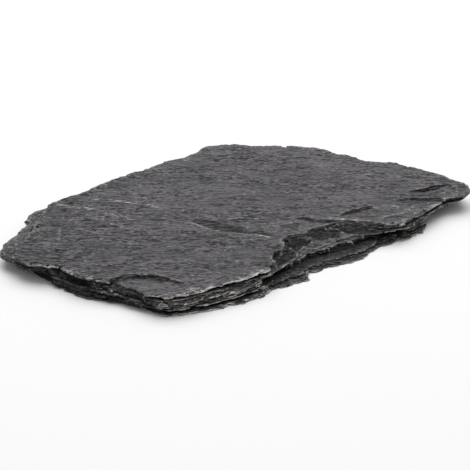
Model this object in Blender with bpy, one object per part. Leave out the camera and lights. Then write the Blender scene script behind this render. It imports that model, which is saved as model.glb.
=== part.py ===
"""A natural slate slab: one stone, split along its cleavage and broken to a ragged outline.

The stone is a pile of cleavage sheets that grew as one. Each sheet has its own broken outline, so the rim
is a flight of small steps, lips and dark partings. The stone is lofted sheet by sheet, and the scars
where flakes have sprung off its two faces are cut afterwards.

Run it with: blender --background --python part.py
Units: the driving sizes are in millimetres, and the scene is in metres. +Z is up, and the stone rests on Z = 0.
"""

import bmesh
import bpy
import numpy as np
from mathutils import Vector
from mathutils.geometry import delaunay_2d_cdt

MM = 0.001

# ---- driving dimensions, in millimetres ----------------------------------------------------------------

LENGTH = 300.0
WIDTH = 182.0
THICKNESS = 13.0

# Bearings round the stone are taken from this point, from which every outline can be seen whole.
HUB = (20.0, 0.0)

# Three outlines, each through its corners, clockwise from the left tip when seen from above.
CROWN = (
    (-151, 28), (-148, 36), (-139, 40), (-124, 50), (-118, 59), (-102, 71), (-93, 78), (-76, 78),
    (-61, 79), (-42, 84), (-28, 84), (-16, 87), (-7, 85), (9, 86), (23, 84), (37, 86), (48, 91),
    (67, 83), (73, 71), (92, 57), (106, 43), (110, 33), (111, 23), (116, 19), (118, 8), (118, 2),
    (125, -6), (134, -13), (135, -21), (139, -33), (142, -42), (144, -49), (143, -58), (146, -69),
    (143, -75), (131, -80), (114, -78), (103, -82), (94, -82), (82, -85), (72, -88), (62, -85),
    (47, -62), (36, -49), (26, -49), (14, -53), (3, -53), (-7, -60), (-14, -69), (-27, -79),
    (-39, -85), (-51, -87), (-64, -87), (-74, -83), (-88, -81), (-102, -77), (-110, -73),
    (-117, -66), (-124, -50), (-131, -39), (-137, -26), (-141, -8), (-142, 5), (-148, 13), (-151, 21),
)  # fmt: skip
LEDGE = (
    (-150, 41), (-146, 50), (-137, 57), (-128, 63), (-120, 68), (-114, 73), (-111, 80), (-103, 83),
    (-92, 83), (-70, 82), (-50, 85), (-30, 86), (-10, 88), (10, 87), (30, 87), (48, 92), (66, 86),
    (76, 73), (94, 58), (108, 44), (113, 30), (119, 18), (121, 6), (128, -7), (136, -17),
    (140, -32), (145, -46), (147, -58), (149, -66), (144, -73), (134, -75), (124, -77), (113, -77),
    (104, -80), (95, -84), (80, -88), (66, -81), (47, -80), (29, -80), (4, -80), (-22, -82),
    (-38, -85), (-51, -88), (-64, -88), (-76, -86), (-90, -83), (-103, -80), (-112, -75),
    (-118, -66), (-125, -50), (-131, -37), (-136, -23), (-139, -8), (-142, 6), (-149, 18), (-152, 30),
)  # fmt: skip
FOOT = (
    (-147, 35), (-137, 49), (-124, 58), (-108, 68), (-92, 74), (-66, 74), (-38, 79), (-12, 81),
    (16, 79), (40, 82), (58, 78), (68, 67), (86, 52), (100, 36), (105, 18), (110, 2), (120, -14),
    (128, -30), (132, -44), (130, -56), (122, -65), (110, -74), (98, -81), (90, -87), (78, -89),
    (64, -85), (52, -82), (40, -86), (24, -90), (10, -88), (-2, -90), (-17, -90), (-30, -88),
    (-39, -88), (-48, -91), (-57, -90), (-76, -88), (-90, -84), (-102, -81), (-109, -77),
    (-116, -69), (-118, -58), (-121, -48), (-127, -38), (-134, -22), (-137, -11), (-141, 4),
    (-145, 14), (-147, 26),
)  # fmt: skip

# The sheets from the floor up: the share of the height, the place of its outline between
# FOOT (0), LEDGE (1) and CROWN (2), and how far its edge stands back from there, in millimetres.
SHEETS = (
    (0.115, 0.00, 0.0),
    (0.085, 0.20, 1.6),
    (0.130, 0.50, 1.0),
    (0.100, 0.80, 0.2),
    (0.120, 1.00, 0.8),
    (0.110, 1.00, 0.0),
    (0.120, 1.45, 0.5),
    (0.100, 2.00, 1.4),
    (0.120, 2.00, 0.0),
)
PARTING_DEPTH = 1.0  # how far a parting between two sheets runs in
PARTING_HEIGHT = 0.35

# The chips along a sheet's edge: how many go round the stone, and how deep they bite.
CHIPS = ((7, 0.30), (17, 0.32), (31, 0.26), (53, 0.24))
SEED = 12

# The rise and fall of the upper face: three waves along their own directions, each with its length
# for one radian, its start and its share of the whole.
UNDULATION = 0.45
WAVES = (
    ((0.86, 0.50), 40.0, 0.6, 0.5),
    ((-0.31, 0.95), 27.0, 2.1, 0.3),
    ((0.60, 0.80), 13.0, 0.9, 0.2),
)

# How finely the stone is lofted.
RIM_POINTS = 150
BEARING_STEPS = 3600
OUTLINE_STEPS = 24  # along each side of an outline
FACE_SPACING = 15.0  # between the points inside the upper and lower faces
FACE_CLEAR = 7.0  # how far those points keep from the rim
CUTTER_REACH = 5.0  # how far a cutter stands out of the face it cuts

# Scars where a flake has sprung off: a name, the height of the scar's floor, and its outline.
UPPER_SCARS = (
    ("front_scoop", 11.9, ((-134, -37), (-121, -36), (-111, -39), (-103, -46), (-95, -51), (-91, -58),
                           (-87, -66), (-86, -73), (-88, -92), (-124, -88), (-138, -50))),
    ("tip_hollow", 11.4, ((121, -56), (128, -60), (136, -63), (143, -66), (158, -74), (146, -84),
                          (131, -79), (122, -71), (118, -63))),
    ("right_step", 12.4, ((93, -62), (103, -65), (111, -67), (118, -72), (126, -82), (130, -96),
                          (96, -96), (87, -77))),
    ("bite_step", 12.2, ((24, -40), (31, -45), (37, -52), (43, -57), (51, -51), (59, -50), (67, -53),
                         (63, -62), (52, -66), (34, -64), (14, -62), (12, -48))),
    ("long_flake", 12.5, ((-39, 1), (-31, 2), (-24, -7), (-18, -16), (-14, -26), (-6, -33), (2, -38),
                          (6, -47), (2, -60), (-16, -56), (-27, -42), (-35, -22))),
)  # fmt: skip
LOWER_SCARS = (
    ("left_spall", 1.3, ((-164, 36), (-130, 38), (-112, 45), (-103, 55), (-106, 95), (-164, 95))),
    ("back_spall", 1.0, ((28, 100), (34, 70), (52, 58), (74, 50), (96, 52), (110, 100))),
    ("right_spall", 1.6, ((150, 10), (112, -16), (104, -38), (92, -58), (88, -100), (150, -100))),
)  # fmt: skip


def radii_of(outline, bearings):
    """How far from HUB an outline lies, at each bearing."""
    starts = np.array(outline, float) - HUB
    sides = np.roll(starts, -1, axis=0) - starts
    steps = np.linspace(0, 1, OUTLINE_STEPS, endpoint=False)[None, :, None]
    along = (starts[:, None] + sides[:, None] * steps).reshape(-1, 2)
    angle = np.arctan2(along[:, 1], along[:, 0])
    order = np.argsort(angle)
    return np.interp(bearings, angle[order], np.hypot(*along[order].T), period=2 * np.pi)


def chips(bearings, seed):
    """The broken edge of one sheet, in millimetres: blunt bites with points between them."""
    random = np.random.default_rng(seed)
    total = np.zeros_like(bearings)
    for count, depth in CHIPS:
        start = random.uniform(0, np.pi)
        total += depth * (1 - 2 * np.abs(np.sin(count * bearings + start)))
    return total


def undulation(points):
    """The gentle rise and fall of the cleavage at places on it, from -1 to 1."""
    return sum(
        share * np.sin(points @ np.array(direction) / length + start)
        for direction, length, start, share in WAVES
    )


def lifted(points, height):
    """Points at a height. The undulation grows from none on the floor to all of it on the upper face."""
    dip = UNDULATION * height / THICKNESS * (1 - undulation(points))
    return np.column_stack([points, height - dip])


def rim_bearings():
    """Bearings spaced so that the rim's points lie evenly along the ledge."""
    fine = np.linspace(-np.pi, np.pi, BEARING_STEPS, endpoint=False)
    ledge = radii_of(LEDGE, fine)[:, None] * np.column_stack([np.cos(fine), np.sin(fine)])
    run = np.concatenate([[0], np.cumsum(np.hypot(*np.diff(ledge, axis=0).T))])
    return np.interp(np.linspace(0, run[-1], RIM_POINTS, endpoint=False), run, fine)


def sheet_radii(bearings):
    """The edge of every sheet as radii at the bearings, from the floor up."""
    outlines = np.array([radii_of(outline, bearings) for outline in (FOOT, LEDGE, CROWN)])
    found = []
    for index, (_, place, setback) in enumerate(SHEETS):
        lower = min(int(place), 1)
        radius = outlines[lower] + (outlines[lower + 1] - outlines[lower]) * (place - lower)
        found.append(radius - setback + chips(bearings, SEED + index))
    return found


def rim_rings():
    """The rim as (ring, height) pairs from the floor up: two for each sheet, and one for each parting."""
    bearings = rim_bearings()
    directions = np.column_stack([np.cos(bearings), np.sin(bearings)])
    radii = sheet_radii(bearings)
    heights = THICKNESS * np.cumsum([0] + [share for share, _, _ in SHEETS])
    last = len(radii) - 1
    levels = []
    for index, radius in enumerate(radii):
        low, high = heights[index], heights[index + 1]
        levels.append((radius, low if index == 0 else low + PARTING_HEIGHT / 2))
        levels.append((radius, high if index == last else high - PARTING_HEIGHT / 2))
        if index < last:
            parting = np.minimum(radius, radii[index + 1]) - PARTING_DEPTH
            levels.append((parting, high))
    return [(HUB + directions * radius[:, None], height) for radius, height in levels]


def inside_points(ring):
    """Points spread over a face, clear of its rim."""
    low, high = ring.min(axis=0), ring.max(axis=0)
    x, y = np.meshgrid(
        np.arange(low[0], high[0], FACE_SPACING),
        np.arange(low[1], high[1], FACE_SPACING),
    )
    x[1::2] += FACE_SPACING / 2
    points = np.column_stack([x.ravel(), y.ravel()])
    away, rim = points - HUB, ring - HUB
    bearings = np.arctan2(away[:, 1], away[:, 0])
    rim_turn = np.arctan2(rim[:, 1], rim[:, 0])
    order = np.argsort(rim_turn)
    reach = np.interp(bearings, rim_turn[order], np.hypot(*rim[order].T), period=2 * np.pi)
    return points[np.hypot(*away.T) < reach - FACE_CLEAR]


def add_points(mesh, points, height, fit):
    """New vertices at a height, in the stone's own frame."""
    return [mesh.verts.new(Vector(point) * MM) for point in lifted(fit(points), height)]


def fill_face(mesh, ring_vertices, ring, height, fit, is_upper):
    """Closes one end of the loft with triangles over the ring and the points inside it."""
    inside = inside_points(ring)
    flat = [Vector(point) for point in np.vstack([ring, inside])]
    sides = [(i, (i + 1) % len(ring)) for i in range(len(ring))]
    triangles = delaunay_2d_cdt(flat, sides, [list(range(len(ring)))], 1, 1e-6)[2]
    vertices = ring_vertices + add_points(mesh, inside, height, fit)
    for triangle in triangles:
        turned = triangle if is_upper else triangle[::-1]
        mesh.faces.new([vertices[corner] for corner in turned])


def stone_mesh(rings, fit):
    """The whole stone before its scars: rings joined into a rim, and a face at each end."""
    mesh = bmesh.new()
    loops = [add_points(mesh, ring, height, fit) for ring, height in rings]
    for lower, upper in zip(loops, loops[1:]):
        for i in range(RIM_POINTS):
            j = (i + 1) % RIM_POINTS
            mesh.faces.new([lower[i], lower[j], upper[j], upper[i]])
    fill_face(mesh, loops[0], *rings[0], fit, is_upper=False)
    fill_face(mesh, loops[-1], *rings[-1], fit, is_upper=True)
    bmesh.ops.triangulate(mesh, faces=[face for face in mesh.faces if len(face.verts) > 3])
    data = bpy.data.meshes.new("slate_slab")
    mesh.to_mesh(data)
    mesh.free()
    return data


def fit_to_size(rings):
    """A function that takes outline places to a LENGTH x WIDTH box, centred on the Z axis."""
    reach = np.vstack([ring for ring, _ in rings])
    low, high = reach.min(axis=0), reach.max(axis=0)
    scale = np.array([LENGTH, WIDTH]) / (high - low)
    return lambda points: (np.array(points, float) - (low + high) / 2) * scale


def slate_material():
    """Dark blue-grey slate with a dull sheen."""
    material = bpy.data.materials.new("slate")
    material.use_nodes = True
    shader = material.node_tree.nodes["Principled BSDF"]
    shader.inputs["Base Color"].default_value = (0.075, 0.073, 0.080, 1.0)
    shader.inputs["Roughness"].default_value = 0.6
    shader.inputs["Metallic"].default_value = 0.0
    return material


def scar_cutter(name, outline, low, high, fit, collection):
    """A closed block over a scar's outline, from one height to another."""
    mesh = bmesh.new()
    base = mesh.faces.new([mesh.verts.new((x * MM, y * MM, low * MM)) for x, y in fit(outline)])
    raised = bmesh.ops.extrude_face_region(mesh, geom=[base])["geom"]
    upper = [item for item in raised if isinstance(item, bmesh.types.BMVert)]
    bmesh.ops.translate(mesh, verts=upper, vec=(0, 0, (high - low) * MM))
    bmesh.ops.recalc_face_normals(mesh, faces=mesh.faces)
    data = bpy.data.meshes.new(name)
    mesh.to_mesh(data)
    mesh.free()
    cutter = bpy.data.objects.new(name, data)
    cutter.display_type = "WIRE"
    cutter.hide_render = True
    collection.objects.link(cutter)
    return cutter


def cut(stone, cutter):
    boolean = stone.modifiers.new(cutter.name, "BOOLEAN")
    boolean.operation = "DIFFERENCE"
    boolean.solver = "EXACT"
    boolean.object = cutter


def clear_scene():
    for thing in list(bpy.data.objects):
        bpy.data.objects.remove(thing)


def new_collection(name):
    collection = bpy.data.collections.new(name)
    bpy.context.scene.collection.children.link(collection)
    return collection


def main():
    clear_scene()
    parts = new_collection("slate slab")
    cutters = new_collection("cutters")

    rings = rim_rings()
    fit = fit_to_size(rings)
    data = stone_mesh(rings, fit)
    data.materials.append(slate_material())
    stone = bpy.data.objects.new("slate_slab", data)
    parts.objects.link(stone)

    for name, floor, outline in UPPER_SCARS:
        cut(stone, scar_cutter(name, outline, floor, THICKNESS + CUTTER_REACH, fit, cutters))
    for name, roof, outline in LOWER_SCARS:
        cut(stone, scar_cutter(name, outline, -CUTTER_REACH, roof, fit, cutters))


main()
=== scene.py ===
# %% [markdown]
# # A natural slate slab
#
# Slate is a mudstone that was squeezed until its mica flakes all lay one way. It splits along them into
# sheets a millimetre or two thick. A slab that is split by hand and broken to a rough outline shows two
# kinds of surface: a cleft face, nearly flat and finely streaked, and a broken edge, where the sheets end
# one above the other in chips, lips and dark gaps.
#
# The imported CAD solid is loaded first. It fixes the size and the place of the stone.

import bmesh
import bpy
import numpy as np
import openvdb
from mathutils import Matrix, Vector


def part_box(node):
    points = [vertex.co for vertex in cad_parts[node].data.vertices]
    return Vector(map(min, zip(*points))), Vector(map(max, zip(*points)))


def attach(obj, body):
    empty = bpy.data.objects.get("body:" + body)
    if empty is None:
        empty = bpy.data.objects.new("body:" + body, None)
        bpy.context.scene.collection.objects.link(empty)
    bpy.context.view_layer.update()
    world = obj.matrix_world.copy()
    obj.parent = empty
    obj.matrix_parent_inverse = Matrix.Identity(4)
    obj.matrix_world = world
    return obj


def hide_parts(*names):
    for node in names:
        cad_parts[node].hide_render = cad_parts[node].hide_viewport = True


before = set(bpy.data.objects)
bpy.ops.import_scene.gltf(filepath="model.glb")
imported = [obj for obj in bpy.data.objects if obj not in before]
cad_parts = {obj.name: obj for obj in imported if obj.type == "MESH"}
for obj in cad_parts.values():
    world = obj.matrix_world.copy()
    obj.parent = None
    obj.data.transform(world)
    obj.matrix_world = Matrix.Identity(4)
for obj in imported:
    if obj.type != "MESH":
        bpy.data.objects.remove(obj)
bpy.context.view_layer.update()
MM = 0.001
low_mm, high_mm = (np.array(corner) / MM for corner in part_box("slate_slab"))
print("CAD box in mm:", low_mm.round(1), high_mm.round(1))

# %% [markdown]
# ## Where to look from
#
# The camera stands about a metre off and looks down at 26 degrees, with the slab's long side turned 38
# degrees away from it. A long lens keeps the far edge from shrinking much. The camera comes first, because
# everything after it is judged through it.

# %% The camera
AZIMUTH = np.radians(-38.0)
ELEVATION = np.radians(26.0)
CAMERA_DISTANCE = 1.0111
LENS_MM = 120.0
AIM = Vector((-0.01557, -0.0250, 0.0066))

towards_camera = Vector(
    (
        np.sin(AZIMUTH) * np.cos(ELEVATION),
        -np.cos(AZIMUTH) * np.cos(ELEVATION),
        np.sin(ELEVATION),
    )
)
camera = bpy.data.objects.new("camera", bpy.data.cameras.new("camera"))
camera.data.lens = LENS_MM
camera.location = AIM + towards_camera * CAMERA_DISTANCE
camera.rotation_euler = (-towards_camera).to_track_quat("-Z", "Y").to_euler()
bpy.context.scene.collection.objects.link(camera)
bpy.context.scene.camera = camera
print("camera at", [round(value, 3) for value in camera.location])

# %% [markdown]
# ## The outlines
#
# The broken edge is a slope of many sheets, so one outline can't describe it. Four can, each at its own
# height: the foot that stands on the floor, the ledge at about two thirds of the height, a shelf above it,
# and the crown, which is the edge of the upper face. On the near side the crown has a bite out of it, so
# the shelf and the ledge show there. Every other sheet's edge is found between these four.
#
# The corners are in millimetres, clockwise from the left tip when seen from above.

# %% The four outlines
DRAWING_MIDDLE = np.array([-1.7, 0.4])  # the middle of the slab, in the drawing of the outlines

CROWN = (
    (-152, 17), (-151, 27), (-146, 35), (-136, 40), (-123, 50), (-115, 60), (-102, 71), (-92, 79),
    (-76, 80), (-61, 81), (-42, 86), (-28, 86), (-16, 88), (-7, 86), (9, 88), (23, 86), (37, 88),
    (48, 93), (68, 85), (75, 73), (94, 59), (108, 45), (112, 34), (113, 24), (118, 20), (120, 9),
    (120, 3), (127, -5), (136, -12), (137, -20), (141, -32), (144, -42), (146, -51), (147, -60),
    (149, -69), (145, -76), (136, -81), (122, -78), (110, -80), (94, -82), (82, -85), (72, -88),
    (62, -84), (54, -70), (45, -60), (38, -58), (30, -56), (23, -55), (12, -58), (6, -57), (-3, -58),
    (-8, -63), (-14, -69), (-28, -79), (-38, -85), (-50, -85), (-64, -85), (-74, -82), (-88, -81),
    (-102, -78), (-109, -75), (-116, -66), (-122, -49), (-125, -35), (-133, -23), (-135, -13), (-138, -1),
    (-143, 5), (-149, 10),
)  # fmt: skip
SHELF = (
    (-153, 19), (-152, 29), (-147, 36), (-137, 41), (-124, 51), (-116, 61), (-103, 72), (-93, 80),
    (-84, 81), (-61, 82), (-42, 86), (-28, 87), (-16, 89), (-7, 87), (9, 88), (23, 87), (37, 88),
    (48, 93), (68, 86), (76, 74), (95, 59), (109, 45), (113, 34), (115, 24), (120, 19), (122, 9),
    (122, 3), (128, -5), (137, -13), (139, -21), (142, -32), (145, -42), (148, -52), (149, -61),
    (148, -68), (144, -75), (134, -79), (122, -78), (110, -80), (94, -83), (82, -86), (72, -89),
    (62, -85), (54, -80), (49, -76), (36, -71), (16, -70), (-1, -70), (-12, -74), (-19, -77), (-28, -81),
    (-39, -85), (-51, -86), (-64, -86), (-74, -83), (-88, -81), (-102, -78), (-110, -74), (-117, -66),
    (-123, -49), (-127, -36), (-134, -24), (-136, -14), (-139, -3), (-145, 3), (-150, 10),
)  # fmt: skip
LEDGE = (
    (-153, 42), (-149, 49), (-143, 54), (-132, 61), (-124, 65), (-119, 68), (-115, 71), (-115, 77),
    (-107, 82), (-100, 84), (-92, 83), (-70, 82), (-50, 85), (-30, 86), (-10, 88), (10, 87), (30, 87),
    (48, 92), (66, 86), (76, 73), (94, 58), (108, 44), (113, 30), (119, 18), (121, 6), (128, -7),
    (136, -17), (140, -32), (145, -46), (148, -58), (148, -66), (143, -73), (133, -76), (122, -77),
    (112, -78), (104, -81), (95, -85), (80, -88), (66, -85), (50, -86), (31, -85), (4, -83), (-13, -84),
    (-26, -86), (-38, -87), (-51, -88), (-64, -88), (-76, -86), (-90, -83), (-103, -80), (-112, -75),
    (-117, -66), (-123, -50), (-129, -37), (-135, -23), (-139, -11), (-144, -1), (-149, 8), (-152, 17),
    (-152, 26), (-154, 34),
)  # fmt: skip
FOOT = (
    (-147, 35), (-137, 49), (-124, 58), (-108, 68), (-92, 74), (-66, 74), (-38, 79), (-12, 81), (16, 79),
    (40, 82), (58, 78), (68, 67), (86, 52), (100, 36), (105, 18), (110, 2), (120, -14), (130, -26),
    (136, -40), (140, -54), (138, -64), (131, -68), (122, -69), (112, -71), (104, -75), (98, -80),
    (90, -87), (78, -89), (64, -86), (53, -86), (40, -88), (33, -91), (24, -91), (10, -87), (-4, -87),
    (-12, -93), (-22, -91), (-30, -90), (-39, -89), (-48, -92), (-60, -92), (-76, -89), (-90, -84),
    (-102, -79), (-109, -75), (-112, -66), (-115, -57), (-119, -47), (-127, -38), (-132, -30),
    (-136, -22), (-139, -12), (-141, -2), (-142, 8), (-144, 20), (-145, 28),
)  # fmt: skip
OUTLINES = (FOOT, LEDGE, SHELF, CROWN)
print("outline corners:", [len(outline) for outline in OUTLINES])

# %% [markdown]
# ## A grid over the stone
#
# The edge has overhangs and gaps under lips, so it can't be made by pushing a flat sheet up and down. The
# stone is made as a solid instead: a number is worked out at every point of a fine grid, above zero inside
# the stone and below zero outside, and a skin is drawn afterwards where the number crosses zero. The grid is
# twice as fine upwards, because that is the way the sheets are thin.

# %% The grid
STEP = 0.6  # millimetres between grid points along X and Y
RISE = 0.3  # and along Z
MARGIN = 3.0  # empty grid around the stone
SPARE = 4 * RISE  # and below and above it

column_x = np.arange(low_mm[0] - MARGIN, high_mm[0] + MARGIN, STEP, dtype=np.float32)
row_y = np.arange(low_mm[1] - MARGIN, high_mm[1] + MARGIN, STEP, dtype=np.float32)
level_z = np.arange(-SPARE, high_mm[2] + SPARE, RISE, dtype=np.float32) + RISE / 2
X, Y = np.meshgrid(column_x, row_y, indexing="ij")
print("grid:", len(column_x), "x", len(row_y), "x", len(level_z))

# %% [markdown]
# ## Noise
#
# Broken stone needs several kinds of roughness. Gradient noise gives soft swells and, summed in octaves,
# weathered roughness. Cells give the flat-sided chips of a fresh break. Both are seeded, so the stone comes
# out the same each time. Slate also has a grain: its streaks and ripples run one way along the cleavage, so
# there are coordinates along and across it.

# %% Noise helpers
TABLE = 256
OCTAVE_SHIFT = 7.3  # keeps the corners of the octaves' lattices apart
OCTAVE_FALL = 0.55  # height of each octave, as a share of the last
GRAIN = np.array([0.788, -0.616])  # the way that the streaks run

along_grain = X * GRAIN[0] + Y * GRAIN[1]
across_grain = X * -GRAIN[1] + Y * GRAIN[0]
grain_angle = float(np.arctan2(GRAIN[1], GRAIN[0]))


def swell(x, y, seed):
    """Gradient noise, about -1 to 1, with one bump to a unit."""
    turn = np.random.default_rng(seed).uniform(0, 2 * np.pi, (TABLE, TABLE)).astype(np.float32)
    push_x, push_y = np.cos(turn), np.sin(turn)
    column, row = np.floor(x).astype(int), np.floor(y).astype(int)
    u, v = x - column, y - row
    ease_u = u * u * u * (u * (u * 6 - 15) + 10)
    ease_v = v * v * v * (v * (v * 6 - 15) + 10)

    def corner(i, j):
        a, b = (column + i) % TABLE, (row + j) % TABLE
        return push_x[a, b] * (u - i) + push_y[a, b] * (v - j)

    near = corner(0, 0) * (1 - ease_u) + corner(1, 0) * ease_u
    far = corner(0, 1) * (1 - ease_u) + corner(1, 1) * ease_u
    return 1.5 * (near * (1 - ease_v) + far * ease_v)


def rough(x, y, seed, octaves=4):
    """Swells on swells, each half as wide and a little over half as high as the last."""
    total, height = 0.0, 1.0
    for octave in range(octaves):
        total = total + height * swell(x * 2**octave + OCTAVE_SHIFT * octave, y * 2**octave, seed + octave)
        height *= OCTAVE_FALL
    return total / 1.6


def chips(x, y, seed):
    """Flat-sided cells, about one to a unit, each with its own level from 0 to 1."""
    random = np.random.default_rng(seed)
    jitter = random.uniform(0, 1, (2, TABLE, TABLE)).astype(np.float32)
    levels = random.uniform(0, 1, (TABLE, TABLE)).astype(np.float32)
    column, row = np.floor(x).astype(int), np.floor(y).astype(int)
    nearest = np.full(x.shape, 9.0, np.float32)
    level = np.zeros(x.shape, np.float32)
    for i in (-1, 0, 1):
        for j in (-1, 0, 1):
            a, b = (column + i) % TABLE, (row + j) % TABLE
            away = (x - column - i - jitter[0, a, b]) ** 2 + (y - row - j - jitter[1, a, b]) ** 2
            closer = away < nearest
            nearest = np.where(closer, away, nearest)
            level = np.where(closer, levels[a, b], level)
    return level


def ease(value, low, high):
    """0 below low, 1 above high, and a smooth rise between them."""
    share = np.clip((value - low) / (high - low), 0, 1)
    return share * share * (3 - 2 * share)


print("noise table:", TABLE, "squared; grain at", round(float(np.degrees(grain_angle))), "degrees")

# %% [markdown]
# ## How far in from an edge
#
# Each outline becomes a map of reach: at every grid point, how far inside the outline it is, with the outside
# negative. Lines work the same way but have two sides, and are used for the scars.

# %% Distance helpers


def nearest_on_side(start, end, x, y):
    """Distance to one side of a shape, the share of the way along it, and which hand the point is on."""
    run = np.array(end, float) - start
    away_x, away_y = x - start[0], y - start[1]
    share = np.clip((away_x * run[0] + away_y * run[1]) / (run @ run), 0, 1)
    distance = np.hypot(away_x - run[0] * share, away_y - run[1] * share)
    return distance, share, run[0] * away_y - run[1] * away_x


def reach_in(outline, x=X, y=Y):
    """Distance in from an outline, in millimetres: below zero outside it."""
    corners = np.array(outline, float) - DRAWING_MIDDLE
    nearest = np.full(x.shape, 1e6)
    crossings = np.zeros(x.shape, int)
    for start, end in zip(corners, np.roll(corners, -1, axis=0)):
        nearest = np.minimum(nearest, nearest_on_side(start, end, x, y)[0])
        spans = (start[1] > y) != (end[1] > y)
        if start[1] != end[1]:
            at = start[0] + (y - start[1]) / (end[1] - start[1]) * (end[0] - start[0])
            crossings += spans & (x < at)
    return np.where(crossings % 2 == 1, nearest, -nearest).astype(np.float32)


def beside_line(line, x=X, y=Y):
    """Signed distance to an open line, above zero on its right, and how far along it in millimetres."""
    corners = np.array(line, float) - DRAWING_MIDDLE
    nearest = np.full(x.shape, 1e6)
    hand = np.zeros(x.shape)
    along = np.zeros(x.shape)
    passed = 0.0
    for start, end in zip(corners[:-1], corners[1:]):
        length = np.hypot(*(end - start))
        distance, share, side = nearest_on_side(start, end, x, y)
        closer = distance < nearest
        nearest = np.where(closer, distance, nearest)
        hand = np.where(closer, -np.sign(side), hand)
        along = np.where(closer, passed + share * length, along)
        passed += length
    return (nearest * hand).astype(np.float32), along.astype(np.float32), passed


wander_x = 0.9 * rough(X / 9, Y / 9, 501) + 0.35 * rough(X / 2.6, Y / 2.6, 511, 2)
wander_y = 0.9 * rough(X / 9, Y / 9, 521) + 0.35 * rough(X / 2.6, Y / 2.6, 531, 2)
reach_maps = np.stack([reach_in(outline, X + wander_x, Y + wander_y) for outline in OUTLINES])
print("deepest point inside each outline, mm:", reach_maps.max(axis=(1, 2)).round(1))

# %% [markdown]
# In the bite on the near side the stone doesn't end in a wall but in a torn slope, from the crown down to the
# shelf. It is left whole here, so that it can be cut down to that slope with the upper face.

# %% The bite
BITE_LEFT, BITE_RIGHT, BITE_BACK = -44.0, 64.0, -40.0
BITE_SIDE_FADE, BITE_BACK_FADE = 6.0, 4.0  # millimetres over which the bite sets in

foot_reach, ledge_reach, shelf_reach, crown_reach = (reach_map.copy() for reach_map in reach_maps)
in_bite = ease(X - BITE_LEFT, 0, BITE_SIDE_FADE) * ease(BITE_RIGHT - X, 0, BITE_SIDE_FADE)
in_bite = in_bite * ease(BITE_BACK - Y, 0, BITE_BACK_FADE) * ease(shelf_reach - crown_reach, 0.5, 3.0)
reach_maps[3] = crown_reach + (shelf_reach - crown_reach) * in_bite
print("share of the plan in the bite:", round(float((in_bite > 0.5).mean()), 3))

# %% [markdown]
# ## The pile of sheets
#
# The stone is nine main sheets, and each is a few thin leaves. A leaf follows the outlines at its own place
# between foot and crown, and then its edge is broken by its own chips. Where neighbouring leaves have nearly
# the same place, the broken edge is a wall. Where their places are far apart, it is a slope of small treads.

# %% Sheets and their leaves
SHEETS = (
    # thickness in mm, leaves, place between foot (0), ledge (1), shelf (2) and crown (3), stand-back in mm
    (1.50, 4, 0.02, -1.0),
    (1.15, 3, 0.35, 1.2),
    (1.70, 4, 0.60, 0.3),
    (1.30, 2, 0.88, 1.4),
    (1.50, 3, 1.00, 0.6),
    (1.45, 3, 1.10, 0.0),
    (1.50, 4, 2.00, 0.8),
    (1.30, 3, 2.60, 1.6),
    (1.60, 3, 3.00, -0.6),
)


def broken_edge(sheet, leaf):
    """How much of one leaf's edge has broken away, in millimetres, all over the grid."""
    shared = 1.3 * rough(X / 15, Y / 15, 30 + 5 * (sheet // 3), 3)
    blocks = 1.7 * (chips(X / 8, Y / 8, 90 + sheet) ** 2 - 0.33) + 0.7 * rough(X / 16, Y / 16, 110 + sheet, 2)
    own = 0.40 * rough(X / 9, Y / 9, 200 + 31 * sheet + 7 * leaf, 3)
    own_chips = 0.7 * (chips(X / 4.5, Y / 4.5, 400 + 11 * sheet + leaf) ** 4 - 0.2)
    calm = 1 - 0.7 * in_bite if sheet > 3 else 1.0  # the upper sheets are less chipped in the bite
    return (shared + blocks + own_chips) * calm + own


def reach_at(place):
    """The reach map at a place between the foot (0) and the crown (3)."""
    below = min(int(place), 2)
    return reach_maps[below] + (reach_maps[below + 1] - reach_maps[below]) * (place - below)


# %% [markdown]
# Along some stretches of the edge whole leaves have broken back under a firmer one. These gaps are what the
# eye picks out first, as black lines below a bright lip, so the main ones are listed one by one.

# %% Gaps under firm sheets
GAPS = (
    # name, line along the edge, lowest and highest point in mm, depth in mm
    ("under the crown, front", ((-102, -77), (-91, -81), (-84, -81), (-68, -85)), 9.4, 11.7, 7.0),
    ("under the crown, middle", ((-66, -84), (-52, -85), (-40, -85), (-32, -82)), 9.2, 11.8, 6.0),
    ("under the left tip", ((-152, 42), (-155, 22), (-153, 8)), 0.0, 6.8, 8.0),
    ("left overhang", ((-146, 5), (-141, -13), (-139, -25), (-129, -42), (-124, -52)), 6.4, 11.4, 3.6),
    ("above the foot sheet", ((-110, -76), (-98, -80), (-84, -85), (-70, -89), (-60, -90)), 1.6, 3.6, 6.0),
    ("below the ledge", ((-30, -88), (-13, -88), (2, -86), (37, -84), (62, -87)), 4.4, 7.9, 7.0),
    ("face below the ledge", ((-24, -88), (-13, -88), (2, -86), (37, -84), (56, -85)), 3.4, 4.4, 3.6),
    ("right side, low", ((66, -88), (80, -90), (96, -84), (106, -80)), 2.8, 4.4, 3.6),
    ("right side, high", ((62, -86), (80, -88), (94, -84), (112, -78)), 8.4, 9.9, 3.6),
    ("under the right tip", ((118, -77), (130, -77), (141, -73), (149, -62)), 0.0, 6.0, 8.0),
    ("right tip, high", ((100, -81), (118, -78), (136, -78)), 9.0, 10.4, 3.0),
    ("far side", ((-60, 84), (-20, 88), (30, 88), (60, 88)), 6.0, 7.4, 3.0),
    ("far right", ((95, 56), (112, 34), (122, 6), (136, -18)), 7.8, 9.4, 3.0),
)
GAP_ENDS = 9.0  # millimetres over which a gap runs out past the ends of its line
print("gaps placed by hand:", len(GAPS))


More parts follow.
